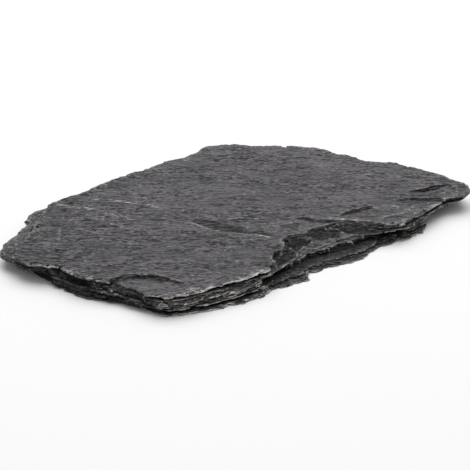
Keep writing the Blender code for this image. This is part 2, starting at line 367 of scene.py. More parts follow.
def gap_depth(height):
    """How far the leaf at a height has broken back, in millimetres, all over the grid."""
    total = np.zeros(X.shape, np.float32)
    for index, (_, line, lowest, highest, depth) in enumerate(GAPS):
        if lowest <= height <= highest:
            distance = np.abs(beside_line(line)[0])
            ragged = 0.75 + 0.5 * rough(X / 6, Y / 6, 1201 + 7 * index, 3)
            total = np.maximum(total, depth * ragged * ease(2 * GAP_ENDS - distance, 0.0, GAP_ENDS))
    return total


# %% [markdown]
# The leaves are piled from the floor up. Between two sheets there is a thin parting, which is set back by a
# millimetre or more where the sheets have come apart.

# %% Piling up the leaves
PARTING = 0.42  # height of a parting between two sheets, in millimetres
OVERLAP = 0.12  # how far neighbouring leaves run into each other, so that they are one stone

leaves = []  # (lowest, highest, reach map) of each leaf and parting, from the floor up
places = [place for _, _, place, _ in SHEETS] + [3.0]
bottom = 0.0
for sheet, (thickness, leaf_count, place, stand_back) in enumerate(SHEETS):
    is_last = sheet == len(SHEETS) - 1
    top = bottom + thickness
    cuts = np.linspace(bottom, top if is_last else top - PARTING, leaf_count + 1)
    leaf_places = np.linspace(place, places[sheet + 1], leaf_count, endpoint=False)
    for leaf in range(leaf_count):
        middle = (cuts[leaf] + cuts[leaf + 1]) / 2
        reach = reach_at(leaf_places[leaf]) - stand_back - broken_edge(sheet, leaf) - gap_depth(middle)
        leaves.append((cuts[leaf], cuts[leaf + 1], reach))
    if not is_last:
        set_back = 0.8 + 3.4 * ease(rough(X / 17, Y / 17, 700 + 3 * sheet, 3), -0.2, 0.6)
        leaves.append((cuts[-1], top, leaves[-1][2] - set_back))
    bottom = top
print(len(leaves), "leaves and partings, to", round(bottom, 2), "mm")

# %% [markdown]
# ## The two faces
#
# The upper face is one cleavage surface, but never quite one sheet. Thin flakes have sprung off it, and each
# has left a low step along its edge. Most steps are terraces of a few tenths of a millimetre that run with
# the grain, and a slow swell cut into levels makes those. The large scars are each drawn as a line with its
# low side on the right.

# %% The upper face
STONE_TOP = 12.95
TROUGH_FADE = 15.0  # a scar that fades out within this is a trough, and a wider one is a terrace


def step_down(line, depth, slope, fade):
    """The drop beside a flake's edge, how torn it is, and its crushed lip.

    The drop reaches its depth a slope's width from the line, dies out a fade's width away, and is deepest at
    the middle of the line.
    """
    moved_x = X + 0.8 * rough(X / 5, Y / 5, 611, 3)
    moved_y = Y + 0.8 * rough(X / 5, Y / 5, 631, 3)
    side, along, length = beside_line(line, moved_x, moved_y)
    share = along / length
    is_trough = fade < TROUGH_FADE
    swelling = np.clip(4 * share * (1 - share), 1e-4, 1) ** (0.5 if is_trough else 0.9)
    reach = np.maximum(fade * (swelling if is_trough else 1.0), 0.5)
    edge = 0.5 * ease(side, 0.0, 0.5) + 0.5 * ease(side, 0.0, slope)
    drop = depth * swelling * edge * np.clip(1 - side / reach, 0, 1)
    tear_width = reach if is_trough else np.minimum(reach, 1.6 * slope * swelling)
    not_at_ends = ease(swelling, 0.2, 0.6)
    tear = ease(side, -0.3, 0.4) * ease(tear_width - side, 0.0, 0.3 * tear_width + 0.1) * not_at_ends
    lip = ease(side, -1.7, -0.7) * ease(0.1 - side, 0.0, 0.4) * not_at_ends
    return drop, tear, lip


def terraces(width, grain_length, count, seed):
    """A slow swell, stretched along the grain and cut into flat levels."""
    slow = rough(along_grain / grain_length, across_grain / width, seed, 4) * count
    level = np.floor(slow)
    return (level + ease(slow - level, 0.0, 0.07)) / count


undulation = 0.5 * np.sin(X / 46 + Y / 80 + 0.6) + 0.3 * np.sin(Y / 29 - X / 90 + 2.1)
upper = STONE_TOP - 0.35 * (1 - undulation)
upper = upper + 0.70 * terraces(26, 70, 3, 41) + 0.50 * terraces(9, 26, 3, 61)
upper = upper + 0.16 * rough(along_grain / 9, across_grain / 3.2, 81, 4)
print("upper face before its scars:", upper.min().round(2), "to", upper.max().round(2), "mm")

# %% The large scars
SCARS = (
    # name, line with its low side on the right, depth, slope and fade in mm, how torn and shaded, how bright
    # its lip
    ("front scoop", ((-140, -41), (-129, -38), (-121, -36), (-110, -37), (-103, -43), (-96, -50), (-92, -58),
     (-89, -67), (-88, -72)), 2.4, 2.2, 90.0, 0.8, 0.7),
    ("long flake", ((-14, -41), (-19, -37), (-22, -33), (-26, -29), (-31, -21), (-34, -8), (-36, 0)),
     1.7, 0.5, 14.0, 1.0, 0.8),
    ("small lens", ((-8, -52), (-12, -45), (-15, -40), (-18, -36)), 0.9, 0.5, 7.0, 1.0, 1.0),
    ("right step", ((90, -58), (95, -59), (100, -60), (106, -63), (111, -68), (118, -74), (124, -84)),
     2.2, 1.6, 30.0, 1.0, 0.1),
    ("middle step", ((20, -36), (27, -41), (31, -47), (35, -52), (41, -58), (46, -64)),
     2.1, 2.0, 40.0, 1.0, 0.4),
    ("middle step, right", ((44, -57), (48, -53), (54, -52), (61, -53), (69, -54), (75, -58)),
     2.3, 1.5, 18.0, 1.0, 0.2),
    ("faint step", ((57, -70), (61, -72), (72, -75), (86, -77), (94, -79)), 0.6, 0.8, 16.0, 0.7, 0.6),
    ("tip hollow", ((108, -52), (115, -55), (125, -57), (133, -58), (141, -63)), 2.8, 1.8, 18.0, 1.0, 0.1),
    ("left scar", ((-122, 22), (-105, 44), (-98, 33), (-93, 21), (-96, 13), (-105, 9)),
     0.5, 0.7, 30.0, 0.4, 0.3),
    ("left nick", ((-52, 22), (-50, 16), (-44, 12)), 0.4, 0.4, 5.0, 1.0, 0.6),
    ("high nick", ((-16, -14), (-8, -16), (-1, -20)), 0.4, 0.5, 5.0, 0.9, 0.4),
    ("ripple step", ((-8, -10), (7, -20), (23, -29), (31, -30)), 0.5, 0.9, 24.0, 0.7, 0.5),
    ("nick by the bite", ((5, -41), (14, -43), (21, -44)), 0.5, 0.6, 6.0, 1.0, 0.4),
    ("small arc", ((-47, -37), (-46, -33), (-47, -31)), 0.4, 0.4, 5.0, 0.6, 1.0),
    ("near nick", ((-86, -7), (-84, -10), (-82, -14)), 0.4, 0.5, 5.0, 1.0, 0.2),
)  # fmt: skip
torn_and_shaded = np.zeros(X.shape, np.float32)
lips = np.zeros(X.shape, np.float32)
for _, line, depth, slope, fade, how_torn_and_shaded, how_bright in SCARS:
    drop, tear, lip = step_down(line, depth, slope, fade)
    upper = upper - drop
    torn_and_shaded = np.maximum(torn_and_shaded, how_torn_and_shaded * tear)
    lips = np.maximum(lips, how_bright * lip)
print("scars:", ", ".join(name for name, *_ in SCARS))

# %% [markdown]
# In the bite the upper face goes down to the shelf. It starts with a short step below the crown and then
# falls in small treads, one leaf high, that are rougher near the top. A share of the way from crown to shelf
# gives the height, and cutting that height into levels gives the treads.

# %% The torn slope of the bite
SHELF_TOP = 8.7
LAMINA = 0.42  # thickness of the thinnest leaves that show, in millimetres

beyond = np.maximum(-crown_reach, 0.0)
share = beyond / (beyond + np.maximum(shelf_reach, 0.05))
torn_rough = 0.8 * rough(X / 5, Y / 5, 1001, 4) + 0.9 * (chips(X / 5, Y / 4, 1011) - 0.5)
torn_rough = torn_rough * ease(1 - share, 0.1, 0.5)
first_step = 0.15 + 1.5 * ease(rough(X / 9, Y / 9, 1031, 3), -0.2, 0.45)
drop = first_step * ease(beyond, 0.0, 0.7) + (upper - SHELF_TOP - first_step) * np.clip(share * 1.05, 0, 1)
slope_top = upper - drop + torn_rough * ease(beyond, 0.0, 2.0)
leaf_level = np.floor(slope_top / LAMINA)
slope_top = LAMINA * (leaf_level + ease(slope_top / LAMINA - leaf_level, 0.4, 0.9))
upper = np.where((crown_reach < 0) & (in_bite > 0.3), np.minimum(upper, slope_top), upper)
torn_and_shaded = np.maximum(torn_and_shaded, in_bite * ease(beyond, 0.0, 0.8) * ease(0.85 - share, 0.0, 0.3))
print("treads from the crown to the shelf:", int((STONE_TOP - SHELF_TOP) / LAMINA))

# %% [markdown]
# A few places in the bite are crushed deeper. Each pit has an outline of its own and a crumbly floor, made
# of small rough noise and small chips, that goes down to about the shelf and no further.

# %% The pits in the bite
HIGHEST_FLOOR = 9.6  # no pit floor is above this height, in millimetres
PITS = (
    # depth and roughness in mm, outline
    (2.2, 1.0, ((-39, -87), (-36, -81), (-30, -79), (-27, -82), (-29, -86), (-33, -91))),
    (2.6, 1.0, ((-28, -75), (-21, -69), (-12, -68), (-6, -71), (-9, -76), (-18, -79), (-26, -80))),
    (2.0, 1.0, ((-7, -60), (1, -55), (9, -58), (14, -65), (6, -69), (-6, -69))),
    (1.2, 0.6, ((11, -59), (23, -54), (31, -58), (35, -66), (33, -71), (20, -69))),
    (0.8, 0.2, ((36, -60), (50, -66), (60, -78), (60, -85), (48, -80), (36, -70))),
)  # fmt: skip
pit_rough = 1.3 * rough(X / 2.4, Y / 2.4, 1051, 3) + 1.3 * (chips(X / 3.2, Y / 2.8, 1061) - 0.4)
pits = np.zeros(X.shape, np.float32)
for depth, roughness, outline in PITS:
    inside = ease(reach_in(outline, X + 2.5 * wander_x, Y + 2.5 * wander_y), -0.3, 1.1)
    upper = upper - inside * np.maximum(depth * (0.7 + 0.3 * torn_rough) + roughness * pit_rough, 0.1)
    pits = np.maximum(pits, inside)
torn_and_shaded = np.maximum(torn_and_shaded, pits)
pit_floor = SHELF_TOP - 0.6 + 0.8 * pits * pit_rough
upper = np.maximum(upper, np.where(in_bite > 0.3, np.minimum(pit_floor, HIGHEST_FLOOR), upper))
print("pits:", len(PITS))

# %% [markdown]
# Elsewhere the rim of the upper face is chipped. Where a noise is high, a chip goes some way in from the
# edge, and it drops in steps of half a millimetre, as the leaves do.

# %% The chipped rim
RIM_REACH = 5.5  # how far in the deepest chips go, in millimetres
RIM_SLOPE = 0.32  # how steeply they drop towards the edge
RIM_STEP = 0.5

rim_bite = RIM_REACH * ease(rough(X / 7, Y / 7, 801, 4), 0.25, 0.7)
rim_drop = np.clip(rim_bite - (crown_reach - 0.5), 0, 5.0) * RIM_SLOPE * (1 - in_bite)
upper = upper - np.floor(rim_drop / RIM_STEP + 0.5) * RIM_STEP
upper = np.minimum(upper, high_mm[2] - 0.02)
print("upper face from", upper[reach_maps[3] > 8].min().round(2), "to", upper.max().round(2), "mm")

# %% [markdown]
# The lower face is kept flat, because the slab lies on it, and only its rim has spalls. It is drawn a hair
# above the floor, so that the ripples it gets later touch the floor and don't go through it.

# %% The lower face
CLEARANCE = 0.17  # millimetres from the floor to the flat of the lower face, before its ripples
SPALL_REACH = 9.0  # how far in the widest spalls go, in millimetres
SPALL_SLOPE = 0.28
SPALL_STEP = 0.4

spall = SPALL_REACH * ease(rough(X / 15, Y / 15, 821, 4), 0.05, 0.7)
lower = SPALL_SLOPE * np.clip(spall - (foot_reach - 2.0), 0, 6.0)
lower = np.floor(lower / SPALL_STEP) * SPALL_STEP + 0.02 * rough(X / 4, Y / 4, 841, 3) * (lower > 0)
lower = np.maximum(lower, CLEARANCE)
flat_share = float((lower[foot_reach > 0] == CLEARANCE).mean())
print("share of the lower face that is flat:", round(flat_share, 2))

# %% [markdown]
# ## The solid
#
# At a height, a point of the grid belongs to one leaf, and its number is the least of three: how far in
# from that leaf's edge, how far under its top, and how far above its bottom. The neighbours above and below
# are asked too and the highest answer wins, which joins the leaves into one stone. A slow wave in the
# heights keeps the leaves from being ruler-straight.

# %% Filling the grid
bottoms = np.array([leaf[0] for leaf in leaves], np.float32)
tops = np.array([leaf[1] for leaf in leaves], np.float32)
bottoms[0], tops[-1] = -5.0, 20.0  # the faces end the first and the last leaf, so these lie past them
reaches = np.stack([leaf[2] for leaf in leaves]).astype(np.float32)
sag = 0.45 * rough(X / 38, Y / 38, 901, 2) + 0.16 * rough(X / 8, Y / 8, 911, 3)

DEPTH_KEPT = 2.0  # the skin needs the numbers only this near to it, in millimetres
solid = np.empty((len(column_x), len(row_y), len(level_z)), np.float32)
for k, z in enumerate(level_z):
    share = np.clip(z / high_mm[2], 0, 1)
    height = z + sag * 4 * share * (1 - share)
    own = np.clip(np.searchsorted(tops, height), 0, len(leaves) - 1)
    best = np.full(X.shape, -9.0, np.float32)
    for neighbour in (-1, 0, 1):
        leaf = np.clip(own + neighbour, 0, len(leaves) - 1)
        reach = np.take_along_axis(reaches, leaf[None], axis=0)[0]
        within = np.minimum(tops[leaf] + OVERLAP - height, height - bottoms[leaf] + OVERLAP)
        best = np.maximum(best, np.minimum(reach, within))
    best = np.minimum(best, np.minimum(upper - z, z - lower))
    solid[:, :, k] = np.clip(best, -DEPTH_KEPT, DEPTH_KEPT)
print("share of the grid inside the stone:", round(float((solid > 0).mean()), 3))

# %% [markdown]
# ## The skin
#
# OpenVDB, which comes with Blender, draws the skin: a mesh of small four-sided faces wherever the number
# crosses zero. It takes the inside as negative, so the sign is turned, and its faces then point outwards.

# %% Drawing the skin
volume = openvdb.FloatGrid(DEPTH_KEPT)
volume.copyFromArray(-solid)
skin_points, _, skin_faces = volume.convertToPolygons(isovalue=0.0, adaptivity=0.0)
cell = np.array([STEP, STEP, RISE])
skin_points = skin_points * cell + np.array([column_x[0], row_y[0], level_z[0]])
print("skin:", len(skin_points), "points,", len(skin_faces), "faces")


def mesh_from(name, points_mm, faces):
    """A mesh from points in millimetres and four-sided faces that point outwards."""
    data = bpy.data.meshes.new(name)
    data.vertices.add(len(points_mm))
    data.vertices.foreach_set("co", (points_mm * MM).astype(np.float32).ravel())
    data.loops.add(faces.size)
    data.loops.foreach_set("vertex_index", faces.astype(np.int32).ravel())
    data.polygons.add(len(faces))
    data.polygons.foreach_set("loop_start", np.arange(0, faces.size, 4, dtype=np.int32))
    data.update(calc_edges=True)
    data.validate()
    return data


stone = bpy.data.objects.new("stone_skin", mesh_from("stone_skin", skin_points, skin_faces))
bpy.context.scene.collection.objects.link(stone)

# %% [markdown]
# ## Relief on the cleavage
#
# A cleft face is never smooth: mica leaves ripples a millimetre or two across that run with the grain, and on
# a broken edge the leaves themselves are built of films thinner than the grid can hold. Both follow the
# surface, so a Geometry Nodes tree makes them. It moves every point along its normal by noise stretched along
# the grain where the surface faces up or down, and by noise stretched sideways where it faces out. Ripples
# that look up are worn to a third. The same tree drops the loose crumbs and closed bubbles that the noise
# leaves in the grid, by counting the points of each island of the mesh.

# %% A small helper for node trees


def add_node(tree, kind, inputs=None, **settings):
    """A node with its settings and inputs. An input is a value, or a socket to link from."""
    node = tree.nodes.new(kind)
    for name, value in settings.items():
        setattr(node, name, value)
    for name, value in (inputs or {}).items():
        socket = node.inputs[name]
        if isinstance(value, bpy.types.NodeSocket):
            tree.links.new(value, socket)
        else:
            socket.default_value = value
    return node


def math_node(tree, operation, a, b=0.0, c=0.0):
    """The result of one sum."""
    node = add_node(tree, "ShaderNodeMath", {0: a, 1: b, 2: c}, operation=operation)
    return node.outputs[0]


# %% The relief tree's inputs
relief = bpy.data.node_groups.new("cleavage relief", "GeometryNodeTree")
RELIEF_INPUTS = (
    ("Ripple Length", 0.0065),
    ("Ripple Width", 0.0022),
    ("Ripple Height", 0.00032),
    ("Film Length", 0.006),
    ("Film Thickness", 0.0005),
    ("Film Height", 0.00045),
    ("Fewest Points", 20000.0),  # an island of the mesh with fewer points than this is dropped
    ("Seed", 3.0),
)
relief.interface.new_socket("Geometry", in_out="INPUT", socket_type="NodeSocketGeometry")
for label, value in RELIEF_INPUTS:
    socket = relief.interface.new_socket(label, in_out="INPUT", socket_type="NodeSocketFloat")
    socket.default_value = value
relief.interface.new_socket("Material", in_out="INPUT", socket_type="NodeSocketMaterial")
relief.interface.new_socket("Geometry", in_out="OUTPUT", socket_type="NodeSocketGeometry")

given = add_node(relief, "NodeGroupInput").outputs
place = add_node(relief, "GeometryNodeInputPosition").outputs[0]
normal = add_node(relief, "GeometryNodeInputNormal").outputs[0]
facing = add_node(relief, "ShaderNodeSeparateXYZ", {0: normal}).outputs["Z"]
turned = add_node(
    relief,
    "ShaderNodeVectorRotate",
    {"Vector": place, "Angle": -grain_angle},
    rotation_type="Z_AXIS",
).outputs[0]
print("relief inputs:", ", ".join(label for label, _ in RELIEF_INPUTS))

# %% Ripples and films


def relief_noise(length, width, thickness, detail):
    """Noise from -0.5 to 0.5, drawn out by these sizes along the grain, across it and upwards."""
    size = add_node(relief, "ShaderNodeCombineXYZ", {0: length, 1: width, 2: thickness}).outputs[0]
    scaled = add_node(relief, "ShaderNodeVectorMath", {0: turned, 1: size}, operation="DIVIDE").outputs[0]
    noise = add_node(
        relief,
        "ShaderNodeTexNoise",
        {"Vector": scaled, "W": given["Seed"], "Scale": 1.0, "Detail": detail, "Roughness": 0.6},
        noise_dimensions="4D",
    )
    return math_node(relief, "SUBTRACT", 0.5, noise.outputs[0])


ripples = relief_noise(given["Ripple Length"], given["Ripple Width"], given["Ripple Width"], 3.0)
films = relief_noise(given["Film Length"], given["Film Length"], given["Film Thickness"], 2.0)
flatness = math_node(relief, "POWER", math_node(relief, "ABSOLUTE", facing), 2.0)
steepness = math_node(relief, "SUBTRACT", 1.0, flatness)
looks_up = math_node(relief, "GREATER_THAN", facing, 0.0)
wear = math_node(relief, "MULTIPLY_ADD", looks_up, -0.7, 1.0)
ripple_share = math_node(relief, "MULTIPLY", flatness, wear)
ripple_push = math_node(relief, "MULTIPLY", ripples, given["Ripple Height"])
ripple_push = math_node(relief, "MULTIPLY", ripple_push, ripple_share)
film_push = math_node(relief, "MULTIPLY", films, given["Film Height"])
film_push = math_node(relief, "MULTIPLY", film_push, steepness)
both = math_node(relief, "ADD", ripple_push, film_push)
full_height = math_node(relief, "MULTIPLY", both, 2.0)  # the noises reach half of their height each way
push = add_node(
    relief,
    "ShaderNodeVectorMath",
    {0: normal, "Scale": full_height},
    operation="SCALE",
).outputs[0]
print("relief tree so far:", len(relief.nodes), "nodes")

# %% Dropping crumbs, then moving the points
island = add_node(relief, "GeometryNodeInputMeshIsland").outputs[0]
island_points = add_node(
    relief,
    "GeometryNodeAccumulateField",
    {"Value": 1.0, "Group ID": island},
    data_type="FLOAT",
    domain="POINT",
).outputs["Total"]
is_crumb = math_node(relief, "LESS_THAN", island_points, given["Fewest Points"])
one_stone = add_node(
    relief,
    "GeometryNodeDeleteGeometry",
    {"Geometry": given["Geometry"], "Selection": is_crumb},
    domain="POINT",
).outputs[0]
moved = add_node(relief, "GeometryNodeSetPosition", {"Geometry": one_stone, "Offset": push}).outputs[0]
real = add_node(relief, "GeometryNodeRealizeInstances", {0: moved}).outputs[0]
painted = add_node(relief, "GeometryNodeSetMaterial", {"Geometry": real, "Material": given["Material"]})
add_node(relief, "NodeGroupOutput", {0: painted.outputs[0]})
print("relief tree:", len(relief.nodes), "nodes")

# %% [markdown]
# The grid gives far more faces than the stone needs. Decimate thins them where the surface is nearly flat,
# after the relief is on it. The result is made a plain mesh, and faces that have shrunk to slivers are
# dissolved. A volume above zero shows that the faces point outwards.

# %% Rippling and thinning the skin
MOST_TRIANGLES = 190_000

slate = bpy.data.materials.new("slate")
rippling = stone.modifiers.new("relief", "NODES")
rippling.node_group = relief
sockets = {item.name: item.identifier for item in relief.interface.items_tree if item.in_out == "INPUT"}
for label, value in RELIEF_INPUTS:
    rippling[sockets[label]] = value
rippling[sockets["Material"]] = slate

thinning = stone.modifiers.new("thinning", "DECIMATE")
thinning.ratio = min(1.0, MOST_TRIANGLES / (2 * len(skin_faces)))
evaluated = stone.evaluated_get(bpy.context.evaluated_depsgraph_get())
piece = bpy.data.objects.new("slate_stone", bpy.data.meshes.new_from_object(evaluated))
bpy.data.objects.remove(stone)
bpy.context.scene.collection.objects.link(piece)

# %% Cleaning the mesh
SLIVER = 0.002 * MM  # a face narrower than this is dissolved into its neighbours
CREASE = np.radians(40)  # a sharper edge than this is shaded as an edge

shell = bmesh.new()
shell.from_mesh(piece.data)
bmesh.ops.dissolve_degenerate(shell, dist=SLIVER, edges=shell.edges)
bmesh.ops.triangulate(shell, faces=shell.faces)
shell.to_mesh(piece.data)
print("volume in cm3:", round(shell.calc_volume(signed=True) * 1e6, 1))
print("edges not shared by two faces:", sum(not edge.is_manifold for edge in shell.edges))
shell.free()
piece.data.shade_smooth()
piece.data.set_sharp_from_angle(angle=CREASE)
print("stone:", sum(len(face.vertices) - 2 for face in piece.data.polygons), "triangles")

# %% [markdown]
# ## What the surface remembers
#
# Weather and handling leave slate pale where an edge is sharp, and the gaps get a painted shade.
# Both can be read from the solid: blur the grid, and a point on a flat face has stone on half of its
# surroundings, a point on a sharp edge has less than half, and a point in a gap has more. The blurred amounts
# are stored on the mesh's points for the material to read.

# %% Blurring, looking up and storing


def box_blur(values, radii):
    """The mean over a box, radii grid points to each side along each axis."""
    for axis, radius in enumerate(radii):
        spread = [(radius + 1, radius) if index == axis else (0, 0) for index in range(3)]
        run = np.cumsum(np.pad(values, spread, mode="edge"), axis=axis, dtype=np.float32)
        count = values.shape[axis]
        ahead = np.take(run, np.arange(count) + 2 * radius + 1, axis=axis)
        behind = np.take(run, np.arange(count), axis=axis)
        values = (ahead - behind) / (2 * radius + 1)
    return values


def sampled(grid, points_mm):
    """The grid's values at points in millimetres, blended from the eight grid points around each."""
    first = np.array([column_x[0], row_y[0], level_z[0]])
    at = np.clip((points_mm - first) / cell, 0, np.array(grid.shape) - 1.001)
    index = at.astype(int)
    part = at - index
    total = np.zeros(len(points_mm))
    for corner in np.ndindex(2, 2, 2):
        weight = np.prod(np.where(corner, part, 1 - part), axis=1)
        i, j, k = (index + corner).T
        total += weight * grid[i, j, k]
    return total


def store(name, values):
    """A named number on every point of the stone."""
    attribute = piece.data.attributes.new(name, "FLOAT", "POINT")
    attribute.data.foreach_set("value", values.astype(np.float32))


points = np.empty(len(piece.data.vertices) * 3, np.float32)
piece.data.vertices.foreach_get("co", points)
points = points.reshape(-1, 3) / MM
filled = np.clip(solid / RISE + 0.5, 0.0, 1.0)  # how much of each grid cell is stone
close_by = sampled(box_blur(box_blur(filled, (1, 1, 1)), (1, 1, 1)), points)
around = sampled(box_blur(box_blur(filled, (4, 4, 7)), (3, 3, 6)), points)
store("worn", ease(0.5 - close_by, 0.05, 0.22))
# painted shade: this number darkens points in gaps and creases
store("gap", ease(close_by - 0.5, 0.05, 0.30))
print("points:", len(points))

# %% [markdown]
# The maps made for the upper face hold for the top of the stone alone. Each point is compared with the
# height of the topmost stone over its place, so that no mark shows again on the underside. That height is
# found between the last grid level in the stone and the first one above it.

# %% The height of the top
highest = len(level_z) - 1 - np.argmax(solid[:, :, ::-1] > 0, axis=2)
highest = np.clip(highest, 0, len(level_z) - 2)[:, :, None]
inside = np.take_along_axis(solid, highest, axis=2)[:, :, 0]
outside = np.take_along_axis(solid, highest + 1, axis=2)[:, :, 0]
above_level = np.clip(inside / np.maximum(inside - outside, 1e-3), 0, 1)
top_height = level_z[highest[:, :, 0]] + RISE * above_level


def on_plan(values):
    """A map's values at the stone's points, looked up from above."""
    return sampled(values[:, :, None].repeat(2, axis=2), points * (1, 1, 0) + (0, 0, level_z[0]))


height_from_top = points[:, 2] - on_plan(top_height)
near_top = ease(height_from_top, -1.1, -0.5)
upper_part = ease(height_from_top, -4.0, -2.0)
print("share of the points near the top:", round(float((near_top > 0.5).mean()), 2))

# %% [markdown]
# Where something has struck or scraped the upper face it is bruised: a pale, patchy line of crushed stone.
# Lips of firm leaves are crushed in the same way. Both are kept as numbers from 0 to 1.

# %% Bruises and lips
BRUISED_LINES = (
    # how bright, line
    (0.9, ((-89, 73), (-82, 63), (-73, 52), (-71, 44), (-69, 37), (-63, 27))),
    (0.8, ((-71, 77), (-65, 67), (-59, 59), (-50, 49), (-38, 29))),
    (0.5, ((74, -63), (84, -66), (86, -74), (89, -80))),
    (0.4, ((64, -74), (70, -75), (78, -76), (87, -78))),
    (0.5, ((-124, -49), (-118, -61), (-109, -71), (-97, -75), (-84, -78))),
)


def bruise_map():
    """1 on a line where something struck or scraped the stone, and 0 two or three millimetres away."""
    total = np.zeros(X.shape, np.float32)
    for how_bright, line in BRUISED_LINES:
        moved_x = X + 1.8 * rough(X / 6, Y / 6, 951, 3)
        moved_y = Y + 1.8 * rough(X / 6, Y / 6, 971, 3)
        side, _, _ = beside_line(line, moved_x, moved_y)
        patchy = ease(rough(X / 9, Y / 9, 991, 2), -0.45, 0.25)
        total = np.maximum(total, how_bright * patchy * ease(2.2 - np.abs(side), 0.0, 2.0))
    return total


def band(reach, width):
    """1 on a strip of this width just inside an edge."""
    return ease(reach, -0.5, 0.2) * ease(width - reach, 0.0, 0.7 * width)


LIP_WIDTH = 1.3
lips = np.maximum(lips, band(leaves[-1][2], LIP_WIDTH) * (1 - in_bite))
lips = np.maximum(lips, band(crown_reach, LIP_WIDTH) * in_bite * ease(first_step, 0.5, 1.3))
store("bruise", on_plan(bruise_map()) * near_top)
store("lip", on_plan(lips) * near_top)
print("bruised lines:", len(BRUISED_LINES))

# %% [markdown]
# Torn stone is darker than cleft stone, partly its own colour and partly painted shade on its scarps and
# pits.
# It is wherever a scar or the bite left it, wherever the upper face is steep, and on the small treads low on
# the broken edge, where the dark is painted shade on treads that face up into the light.

# %% Where the stone is torn
TREADS_LOW, TREADS_HIGH = 0.8, 7.7  # heights between which the treads are painted with shade, in millimetres

run_x, run_y = np.gradient(top_height, STEP)
slope_map = np.minimum(np.hypot(run_x, run_y), 1.0)[:, :, None]
slope_map = box_blur(box_blur(slope_map, (1, 1, 0)), (1, 1, 0))[:, :, 0]
torn_and_shaded = np.maximum(torn_and_shaded, 0.9 * ease(slope_map - 0.15 * in_bite, 0.16, 0.45))
# painted shade: upward treads low on the broken edge are darkened as if they lay in shade
treads = 0.85 * ease(TREADS_HIGH - points[:, 2], 0.0, 0.6) * ease(points[:, 2] - TREADS_LOW, 0.0, 0.5)
store("torn_and_shaded", np.maximum(on_plan(torn_and_shaded) * upper_part, treads))
store("pit", on_plan(pits) * upper_part)
print("share of the plan that is torn:", round(float((torn_and_shaded > 0.5).mean()), 2))

# %% [markdown]
# The broken edge isn't equally bright all round. Along the left end it is painted dark, a painted shade of
# its overhung wall, and at the front corner it is bright, partly a fresh break and partly a painted
# highlight. The floor of the front scoop is painted a little paler, painted light where it tilts towards the
# lamp, and the back left of the face is a little duller.

# %% Fresh stone, painted shade and painted light
SHADED_LEFT_EDGE = ((-152, 30), (-142, -6), (-131, -39), (-117, -66))
FRONT_CORNER = ((-104, -78), (-88, -82), (-70, -86), (-50, -88))
SCOOP_FLOOR = (
    (-127, -44), (-112, -43), (-103, -50), (-96, -58), (-93, -68), (-97, -76), (-109, -72), (-118, -60),
)  # fmt: skip

# painted shade along the left end and painted highlight at the front corner, on top of how fresh the break is
fresh_and_painted_light = 0.18 + 0.72 * ease(np.abs(beside_line(SHADED_LEFT_EDGE)[0]), 10.0, 28.0)
fresh_and_painted_light = fresh_and_painted_light + 0.9 * ease(16.0 - np.abs(beside_line(FRONT_CORNER)[0]), 0.0, 10.0) - 0.25 * in_bite
store("fresh_and_painted_light", on_plan(fresh_and_painted_light))
duller_back_left = ease(-50.0 - X, 0.0, 60.0) * ease(Y + 30.0, 0.0, 30.0)
# painted light: the scoop floor is painted paler; the back left is only made duller
store("paleness", on_plan(0.18 * ease(reach_in(SCOOP_FLOOR), -2.0, 4.0) - 0.12 * duller_back_left))
store("rim", on_plan(ease(7.0 - crown_reach, 0.0, 6.0) * ease(upper - 9.0, 0.0, 2.0)))
print("freshness of the edge:", fresh_and_painted_light.min().round(2), "to", fresh_and_painted_light.max().round(2))

# %% [markdown]
# Deep under the ledge, under the crown and below a lip, the stone is painted nearly black: painted shade,
# far darker than the real shade there, because the gaps are only a few millimetres deep.

# %% Painted shade under the ledges
LIP_HEIGHT = 6.0  # the height of the gap below the ledge, in millimetres

covered = ease(-height_from_top, 0.8, 1.4) * ease(points[:, 2] - 1.0, 0.0, 0.8)
under_ledge = ease(on_plan(ledge_reach) - 0.8, 0.0, 2.2) * ease(8.3 - points[:, 2], 0.0, 0.4)
under_crown = ease(on_plan(crown_reach) - 0.8, 0.0, 2.2)
recess = 0.95 * covered * np.maximum(under_ledge, under_crown)
below_lip = on_plan(np.minimum(gap_depth(LIP_HEIGHT) / 5.0, 1.0)) * ease(on_plan(ledge_reach) + 2.5, 0.0, 3.0)
below_lip = 0.9 * below_lip * ease(6.8 - points[:, 2], 0.0, 0.4) * ease(points[:, 2] - 3.4, 0.0, 0.8)
# painted shade: the recesses, and places closed in by stone, are painted nearly black by this number
store("painted_shade", np.maximum.reduce([0.8 * ease(around - 0.5, 0.05, 0.38), recess, below_lip]))
stored_names = [attribute.name for attribute in piece.data.attributes if attribute.data_type == "FLOAT"]
print("stored on each point:", ", ".join(stored_names))

# %% [markdown]
# ## Slate
#
# Slate is a dark grey with a trace of violet, streaked along its grain. One Principled shader is enough, and
# its colour is built in layers from noises in millimetres: the cleft face, the broken edge and torn stone
# first, then weathering, crushed stone and the painted shade of the gaps, with painted light and shade on
# some steps and edges. Painted images would need one for every side, and noises fit any side.

# %% Small helpers for the material
slate.use_nodes = True
shader = slate.node_tree.nodes["Principled BSDF"]


def stored(name):
    return add_node(slate.node_tree, "ShaderNodeAttribute", attribute_name=name).outputs["Fac"]


def sum_of(*values):
    total = values[0]
    for value in values[1:]:
        total = math_node(slate.node_tree, "ADD", total, value)
    return total


def times(a, b):
    return math_node(slate.node_tree, "MULTIPLY", a, b)


def between(value, low, high, result_low=0.0, result_high=1.0):
    """A smooth change from one result to another as a value goes from low to high."""
    return add_node(
        slate.node_tree,
        "ShaderNodeMapRange",
        {"Value": value, 1: low, 2: high, 3: result_low, 4: result_high},
        interpolation_type="SMOOTHSTEP",
    ).outputs[0]


def blend(share, first, second):
    """One colour turning into another."""
    node = add_node(slate.node_tree, "ShaderNodeMix", {0: share, 6: first, 7: second}, data_type="RGBA")
    return node.outputs[2]


